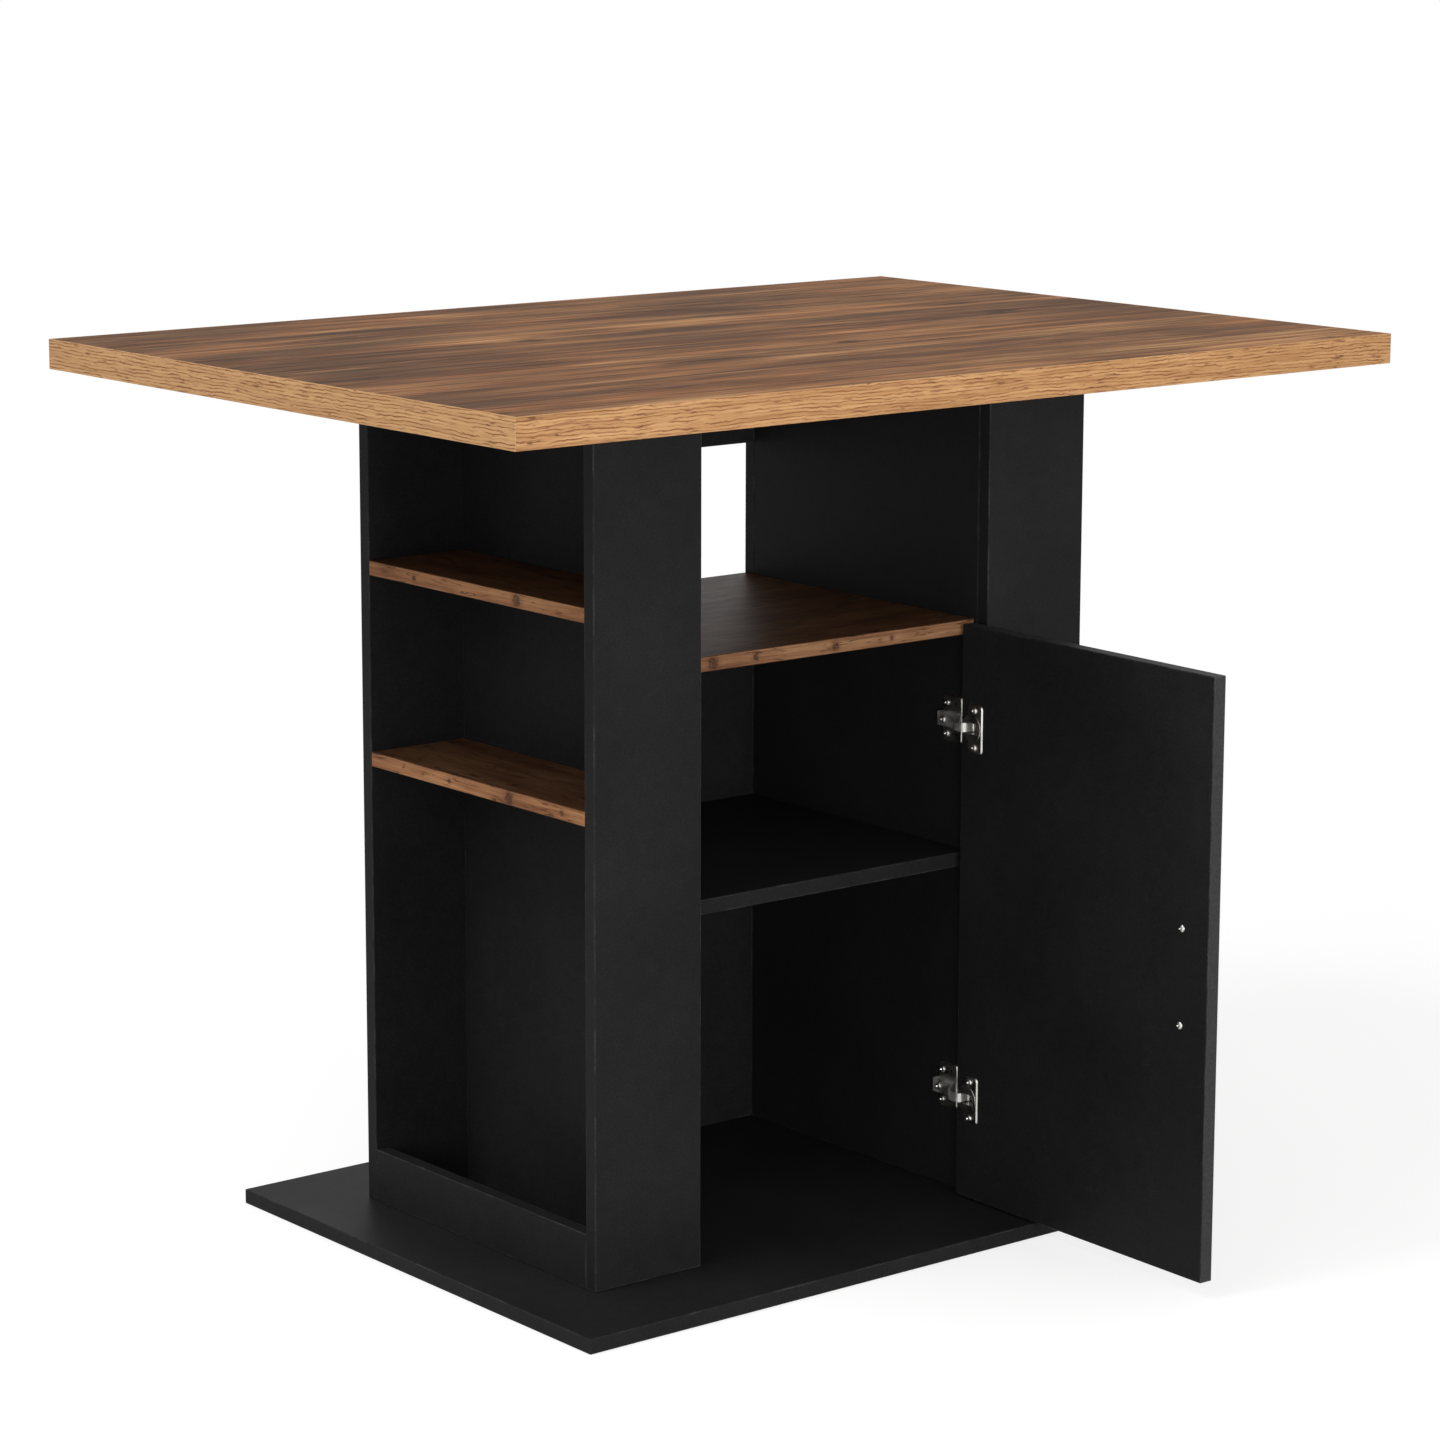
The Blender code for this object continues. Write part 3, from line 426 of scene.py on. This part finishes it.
def make_edge_wood():
    """Light oak band with fine grain lines and dark pores that run along each edge, and painted light
    that makes the band on the short sides lighter.
    """
    shader = Shader("oak_edge_band")
    place = shader.parts(shader.place())
    side = shader.faces(shader.parts(shader.normal())[0])
    along = shader.either(side, place[0], place[1])
    depth = shader.either(side, place[1], place[0])
    grain = shader.joined(along, depth, place[2])
    ripples = shader.noise(grain, scale=(85.0, 0.0, 90.0))
    sways = shader.noise(grain, scale=(10.0, 0.0, 40.0), shift=(5.0, 0.0, 2.0))
    bend = shader.math("ADD", shader.swing(ripples, RIPPLE_HEIGHT), shader.swing(sways, SWAY_HEIGHT))
    height = shader.math("ADD", place[2], bend)
    bent = shader.joined(along, depth, height)
    bands = shader.noise(bent, scale=(6.0, 0.0, 190.0), detail=5.0, rough=0.62)
    # Painted light: the band on the short sides is made lighter than on the long sides
    tone = shader.math("ADD", bands, shader.math("MULTIPLY", side, SHORT_SIDE_PAINTED_LIGHT))
    base = shader.ramp(tone, palette(BAND_TONES))
    wave = shader.math("SINE", shader.math("MULTIPLY", height, math.tau / LINE_PITCH))
    breaks = shader.noise(bent, scale=(30.0, 0.0, 260.0), detail=3.0, rough=0.6, shift=(8.0, 0.0, 1.0))
    broken = shader.span(breaks, (0.36, 0.62), (0.10, 1.0))
    line = shader.math("MULTIPLY", shader.span(wave, (0.0, 0.95), (0.0, 0.88)), broken)
    lined = shader.mix(line, base, colour(*BAND_LINE))
    pores = shader.noise(
        bent, scale=(52.0, 0.0, 420.0), detail=3.0, rough=0.6, shift=(4.0, 0.0, 7.0), distortion=0.3,
    )
    patches = shader.noise(bent, scale=(9.0, 0.0, 50.0), detail=3.0, rough=0.6, shift=(3.0, 0.0, 0.0))
    patch = shader.span(patches, (0.40, 0.62), (0.25, 1.0))
    pore = shader.math("MULTIPLY", shader.span(pores, (0.55, 0.66), (0.0, 0.85)), patch)
    marked = shader.mix(pore, lined, colour(*BAND_PORE))
    groove = shader.math("MAXIMUM", line, pore)
    relief = shader.bump(shader.math("SUBTRACT", 1.0, groove), strength=0.25, distance=0.0003)
    rough = shader.span(groove, (0.0, 1.0), (0.48, 0.66))
    return shader.finish(
        Base_Color=marked, Roughness=rough, Normal=relief, Specular_IOR_Level=BAND_SHINE,
    )


def edge_knots(names, shares, along):
    """Knot centres and radii in the middle of the outer long edges of some shelves."""
    places = []
    for name in names:
        low, high = (Vector(corner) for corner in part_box(name))
        middle = (low + high) / 2
        for share, radius in shares:
            centre = middle.copy()
            if along == "y":
                centre.x = low.x if middle.x < 0.0 else high.x
                centre.y = high.y + (low.y - high.y) * share
            else:
                centre.x = low.x + (high.x - low.x) * share
                centre.y = low.y
            places.append((centre, radius))
    return places


def grain_place(shader, place, along):
    """The place with the grain's axis first, bent a little across the grain."""
    parts = shader.parts(place)
    order = {"x": (0, 1, 2), "y": (1, 0, 2)}[along]
    straight = shader.joined(*(parts[index] for index in order))
    wander = shader.noise(straight, scale=(5.0, 20.0, 20.0))
    drift = shader.swing(wander, SHELF_WANDER)
    turned_parts = shader.parts(straight)
    across = shader.math("ADD", turned_parts[1], drift)
    height = shader.math("ADD", turned_parts[2], drift)
    return shader.joined(turned_parts[0], across, height)


def nearest_knot(shader, place, knots):
    """The distance to the nearest knot's centre, in radii of that knot."""
    nearest = None
    for centre, radius in knots:
        reach = shader.math("DIVIDE", shader.measure("DISTANCE", place, centre), radius)
        nearest = reach if nearest is None else shader.math("MINIMUM", nearest, reach)
    return nearest


def make_shelf_wood(name, along, knots, edge_painted_lighting):
    """Old-wood laminate with knotty edges, its grain along one axis; painted shade darkens its faces and
    a painted light level given per shelf scales its edges.
    """
    shader = Shader(name)
    place = shader.place()
    bent = grain_place(shader, place, along)
    streaks = shader.noise(bent, scale=(6.0, 60.0, 190.0), detail=5.0, rough=0.62)
    clouds = shader.noise(bent, scale=(11.0, 20.0, 20.0), shift=(1.0, 2.0, 0.0))
    streaked = shader.math("MULTIPLY", streaks, SHELF_STREAK_WEIGHT)
    tone = shader.math("ADD", streaked, shader.math("MULTIPLY", clouds, SHELF_CLOUD_WEIGHT))
    base = shader.ramp(tone, palette(SHELF_TONES))
    fibre = shader.noise(bent, scale=(26.0, 500.0, 700.0), detail=3.0, rough=0.6)
    grained = shader.shade(base, shader.ramp(fibre, SHELF_FIBRES), SHELF_FIBRE_WEIGHT)
    scars = shader.noise(
        bent, scale=(34.0, 120.0, 320.0), detail=3.0, rough=0.6, shift=(6.0, 0.0, 2.0), distortion=0.8,
    )
    scarred = shader.mix(shader.span(scars, (0.56, 0.67), (0.0, 0.80)), grained, colour(*SHELF_SCAR))
    nearest = nearest_knot(shader, place, knots)
    ragged = shader.noise(bent, scale=(360.0, 420.0, 420.0), detail=3.0, rough=0.65)
    frayed = shader.math("ADD", nearest, shader.swing(ragged, KNOT_RAGGEDNESS))
    swirl = shader.noise(
        bent, scale=(520.0, 620.0, 620.0), rough=0.6, shift=(0.0, 3.0, 9.0), distortion=1.5,
    )
    core = shader.span(frayed, (0.70, 1.20), (0.92, 0.0))
    knot = shader.math("MULTIPLY", core, shader.span(swirl, (0.38, 0.54), (0.30, 1.0)))
    knotted = shader.mix(knot, scarred, colour(*SHELF_KNOT))
    halo = shader.span(nearest, (1.0, 2.4), (0.30, 0.0))
    ringed = shader.mix(halo, knotted, colour(*SHELF_HALO))
    # Painted shade on the flat faces, and the given painted light level on the edges
    flat = shader.faces(shader.parts(shader.normal())[2])
    board = shader.mix(flat, shader.shade(ringed, edge_painted_lighting), shader.shade(ringed, SHELF_FACE_PAINTED_SHADE))
    rough = shader.span(fibre, (0.3, 0.7), (0.52, 0.42))
    relief = shader.bump(shader.math("SUBTRACT", fibre, knot), strength=0.2, distance=0.0003)
    return shader.finish(
        Base_Color=board, Roughness=rough, Normal=relief, Specular_IOR_Level=SHELF_SHINE,
    )


def rubbed_edges(shader, place):
    """Where sharp edges are rubbed, in patches, from 0 to nearly 1."""
    rounded = shader.add("ShaderNodeBevel", {"Radius": WEAR_RADIUS}, samples=WEAR_SAMPLES).outputs[0]
    flat = shader.add("ShaderNodeNewGeometry").outputs["True Normal"]
    corner = shader.span(shader.measure("DOT_PRODUCT", rounded, flat), (0.80, 0.98), (1.0, 0.0))
    rubs = shader.noise(place, scale=(34.0, 34.0, 34.0), detail=4.0, rough=0.65, shift=(9.0, 4.0, 7.0))
    return shader.math("MULTIPLY", corner, shader.span(rubs, (0.42, 0.66), (0.12, 0.80)))


def make_melamine(name, painted_highlight_face=None):
    """Black board with a fine pearl texture, and a painted highlight as a lighter colour on the edges
    round a given face.
    """
    shader = Shader(name)
    place = shader.place()
    pearl = shader.noise(place, scale=(560.0, 560.0, 560.0))
    cloud = shader.noise(place, scale=(6.0, 6.0, 6.0), detail=3.0, rough=0.55)
    mottle = shader.noise(place, scale=(70.0, 70.0, 70.0), detail=3.0, rough=0.6, shift=(3.0, 1.0, 2.0))
    tone = shader.math("ADD", cloud, shader.swing(mottle, MOTTLE_WEIGHT))
    base = shader.ramp(tone, palette(MELAMINE_TONES))
    # Painted highlight: the thin edges round the given face are coloured lighter
    if painted_highlight_face is not None:
        turn = shader.measure("DOT_PRODUCT", shader.normal(), painted_highlight_face)
        narrow = shader.span(shader.math("ABSOLUTE", turn), (0.3, 0.7), (1.0, 0.0))
        base = shader.mix(narrow, base, DOOR_EDGE_PAINTED_HIGHLIGHT)
    speck = shader.span(pearl, (0.35, 0.70), (0.85, 1.15))
    grey = shader.add("ShaderNodeCombineColor", {0: speck, 1: speck, 2: speck}).outputs[0]
    worn = shader.mix(rubbed_edges(shader, place), shader.shade(base, grey), WEAR_COLOUR)
    rough = shader.span(cloud, (0.3, 0.7), MELAMINE_ROUGHNESS)
    relief = shader.bump(pearl, strength=0.12, distance=0.0002)
    return shader.finish(
        Base_Color=worn, Roughness=rough, Normal=relief, Specular_IOR_Level=MELAMINE_SHINE,
    )


def make_metal(name):
    """Plated or painted metal with fine brushing and slightly uneven gloss."""
    display, roughness, metallic = METALS[name]
    shader = Shader(name)
    place = shader.place()
    smear = shader.noise(place, scale=(60.0, 60.0, 60.0), detail=3.0, rough=0.6)
    brush = shader.noise(place, scale=(400.0, 400.0, 3000.0))
    tint = colour(*display)
    dark = tuple(channel * METAL_SMEAR_SHADE for channel in tint[:3]) + (1.0,)
    base = shader.ramp(smear, [(0.3, dark), (0.7, tint)])
    rough = shader.span(smear, (0.3, 0.7), (roughness * METAL_SMOOTHEST, roughness * METAL_ROUGHEST))
    relief = shader.bump(brush, strength=0.06, distance=0.0001)
    return shader.finish(Base_Color=base, Roughness=rough, Normal=relief, Metallic=metallic)


def dress(names, material):
    """Gives CAD nodes a material."""
    for name in names:
        for holder in nodes[name].material_slots:
            holder.material = material


def named(*parts):
    """The names of the CAD nodes that hold one of some parts of a name."""
    return [name for name in nodes if any(part in name for part in parts)]


def turned(bm, profile, sides):
    """A closed turned form about the z axis through radius and height pairs, from top to bottom."""
    rings = []
    for radius, height in profile:
        if radius == 0.0:
            rings.append([bm.verts.new((0.0, 0.0, height))])
            continue
        ring = []
        for step in range(sides):
            angle = math.tau * step / sides
            ring.append(bm.verts.new((radius * math.cos(angle), radius * math.sin(angle), height)))
        rings.append(ring)
    for upper, lower in zip(rings, rings[1:]):
        for i in range(sides):
            j = (i + 1) % sides
            left = [upper[i % len(upper)], lower[i % len(lower)]]
            right = [lower[j % len(lower)], upper[j % len(upper)]]
            bm.faces.new(list(dict.fromkeys(left + right)))


def new_piece(name, bm):
    """A mesh object from a finished bmesh."""
    bmesh.ops.recalc_face_normals(bm, faces=bm.faces)
    mesh = bpy.data.meshes.new(name)
    bm.to_mesh(mesh)
    bm.free()
    piece = bpy.data.objects.new(name, mesh)
    bpy.context.collection.objects.link(piece)
    return piece


def cross_recess(radius, height):
    """The cutter of a cross recess, which narrows towards its floor."""
    bm = bmesh.new()
    half_length = radius * RECESS_LENGTH
    half_width = radius * RECESS_WIDTH
    levels = ((height * RECESS_FLOOR, RECESS_FLOOR_LENGTH), (height * RECESS_TOP, 1.0))
    for turn in (0.0, math.pi / 2):
        spin = Matrix.Rotation(turn + RECESS_TURN, 4, "Z")
        rings = []
        for level, share in levels:
            ring = []
            for x, y in RECESS_CORNERS:
                point = Vector((half_length * share * x, half_width * y, level))
                ring.append(bm.verts.new(spin @ point))
            rings.append(ring)
        floor, top = rings
        bm.faces.new(floor)
        bm.faces.new(top)
        for i in range(len(floor)):
            j = (i + 1) % len(floor)
            bm.faces.new((floor[i], floor[j], top[j], top[i]))
    return new_piece("recess_cutter", bm)


def cut_recess(piece, cutter):
    """Cuts a cross recess into a screw's head, takes the cutter away and returns the new mesh."""
    cut = piece.modifiers.new("recess", "BOOLEAN")
    cut.operation = "DIFFERENCE"
    cut.solver = "EXACT"
    cut.use_self = True
    cut.object = cutter
    bpy.context.view_layer.update()
    solved = piece.evaluated_get(bpy.context.evaluated_depsgraph_get())
    piece_mesh = bpy.data.meshes.new_from_object(solved)
    piece.modifiers.clear()
    piece.data = piece_mesh
    bpy.data.objects.remove(cutter)
    return piece_mesh


def make_screw(node, body, outward, sizes, material):
    """A domed screw with a cross recess in the place of a plain CAD screw."""
    radius, height, shank, length = sizes
    dome = [(radius * share, height * rise) for share, rise in SCREW_DOME]
    stem = [(shank, 0.0), (shank, -length * SHANK_STRAIGHT), (0.0, -length)]
    bm = bmesh.new()
    turned(bm, [(0.0, height)] + dome + stem, SCREW_SIDES)
    piece = new_piece(node + "_cross", bm)
    shaped = cut_recess(piece, cross_recess(radius, height))
    low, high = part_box(node)
    middle = (Vector(low) + Vector(high)) / 2
    seat = middle + outward * ((length - height) / 2)
    turn = outward.to_track_quat("Z", "Y").to_matrix().to_4x4()
    shaped.transform(Matrix.Translation(seat) @ turn)
    for face in shaped.polygons:
        face.use_smooth = True
    shaped.set_sharp_from_angle(angle=SCREW_CREASE)
    shaped.materials.clear()
    shaped.materials.append(material)
    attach(piece, body)
    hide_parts(node)


def make_screws(material):
    """The screws that show, on the door and on the right divider."""
    for side in ("high", "low"):
        make_screw("handle_screw_" + side, "door", DOOR_INNER, HANDLE_SCREW, material)
        for hinge in ("upper", "lower"):
            make_screw(hinge + "_cup_screw_" + side, "door", DOOR_INNER, CUP_SCREW, material)
            make_screw(hinge + "_plate_screw_" + side, "carcass", DIVIDER_INNER, PLATE_SCREW, material)
    for hinge in ("upper", "lower"):
        make_screw(hinge + "_arm_screw", "carcass", DIVIDER_INNER, ARM_SCREW, material)


def make_floor():
    """A pale floor that keeps the shadow and fades to white further out."""
    mesh = bpy.data.meshes.new("floor")
    size = FLOOR_HALF_SIZE
    corners = [(-size, -size), (size, -size), (size, size), (-size, size)]
    mesh.from_pydata([(x, y, -FLOOR_DROP) for x, y in corners], [], [(0, 1, 2, 3)])
    floor = bpy.data.objects.new("floor", mesh)
    bpy.context.collection.objects.link(floor)
    shader = Shader("pale_floor")
    reach = shader.measure("LENGTH", shader.place())
    white = shader.span(reach, (FLOOR_TRUE_RADIUS, FLOOR_WHITE_RADIUS), (0.0, 1.0))
    seen = shader.seen()
    matt = shader.add("ShaderNodeBsdfPrincipled", {
        "Base Color": FLOOR_COLOUR, "Roughness": FLOOR_ROUGHNESS, "Specular IOR Level": 0.0,
        "Emission Color": WHITE, "Emission Strength": shader.math("MULTIPLY", seen, FLOOR_GLOW),
    })
    glow = shader.add("ShaderNodeEmission", {"Color": WHITE, "Strength": WHITE_STRENGTH})
    share = shader.math("MULTIPLY", white, seen)
    mixed = shader.add("ShaderNodeMixShader", {0: share, 1: matt.outputs[0], 2: glow.outputs[0]})
    mesh.materials.append(shader.end(mixed))


def make_world():
    """White to the eye and in reflections, softer as light."""
    world = bpy.data.worlds.new("studio")
    bpy.context.scene.world = world
    world.use_nodes = True
    tree = Tree(world.node_tree)
    soft = tree.add("ShaderNodeBackground", {"Color": WHITE, "Strength": WORLD_LIGHT})
    bright = tree.add("ShaderNodeBackground", {"Color": WHITE, "Strength": WHITE_STRENGTH})
    mixed = tree.add("ShaderNodeMixShader", {0: tree.seen(), 1: soft.outputs[0], 2: bright.outputs[0]})
    tree.add("ShaderNodeOutputWorld", {0: mixed.outputs[0]})


def make_lamp(name, place, target, size, power):
    """A soft square lamp turned to a target."""
    light = bpy.data.lights.new(name, "AREA")
    light.shape = "SQUARE"
    light.size = size
    light.energy = power
    lamp = bpy.data.objects.new(name, light)
    lamp.location = place
    lamp.rotation_euler = (Vector(target) - Vector(place)).to_track_quat("-Z", "Y").to_euler()
    bpy.context.collection.objects.link(lamp)


def make_camera():
    """The photograph's viewpoint."""
    lens = bpy.data.cameras.new("photo_view")
    lens.lens = CAMERA_LENS
    lens.sensor_fit = "HORIZONTAL"
    lens.sensor_width = CAMERA_SENSOR
    lens.shift_x = CAMERA_SHIFT_X
    lens.shift_y = CAMERA_SHIFT_Y
    camera = bpy.data.objects.new("photo_view", lens)
    camera.location = CAMERA_PLACE
    heading = Matrix.Rotation(-CAMERA_YAW, 3, "Z")
    tilt = Matrix.Rotation(math.pi / 2 - CAMERA_PITCH, 3, "X")
    roll = Matrix.Rotation(CAMERA_ROLL, 3, "Z")
    camera.rotation_euler = (heading @ tilt @ roll).to_euler()
    bpy.context.collection.objects.link(camera)
    bpy.context.scene.camera = camera


def dress_boards():
    """Black boards, the worktop with its edge band, and the wood-look shelves."""
    dress(nodes, make_melamine("black_melamine"))
    # The door's edges get a painted highlight
    dress(["door_panel"], make_melamine("door_melamine", DOOR_INNER))
    dress(["worktop"], make_worktop_wood())
    dress(["worktop_edge_band"], make_edge_wood())
    upper_shelves = named("upper_shelf")
    lower_shelves = named("lower_shelf")
    upper_knots = edge_knots(upper_shelves, UPPER_KNOTS, "y")
    lower_knots = edge_knots(lower_shelves, LOWER_KNOTS, "y")
    tower_knots = upper_knots + lower_knots
    # The tower shelves' edges get painted light
    tower_wood = make_shelf_wood("shelf_wood_across", "y", tower_knots, TOWER_EDGE_PAINTED_LIGHT)
    dress(upper_shelves + lower_shelves, tower_wood)
    centre_knots = edge_knots(["centre_shelf"], CENTRE_KNOTS, "x")
    # The centre shelf's edge gets painted shade
    centre_wood = make_shelf_wood("shelf_wood_along", "x", centre_knots, CENTRE_EDGE_PAINTED_SHADE)
    dress(["centre_shelf"], centre_wood)


def dress_fittings():
    """Hinges, screws, cams, shelf pins and the handle."""
    nickel = make_metal("nickel_plate")
    dress(named("hinge_", "mounting_plate", "_screw"), nickel)
    dress(named("hinge_arm"), make_metal("satin_nickel"))
    dress(named("cam_", "shelf_pin", "base_screw"), make_metal("zinc_alloy"))
    dress(["door_handle"], make_metal("black_metal"))
    make_screws(nickel)


bpy.context.scene.view_settings.view_transform = "Standard"
make_camera()
make_world()
make_floor()
for lamp_name, lamp_settings in LAMPS.items():
    make_lamp(lamp_name, *lamp_settings)
dress_boards()
dress_fittings()
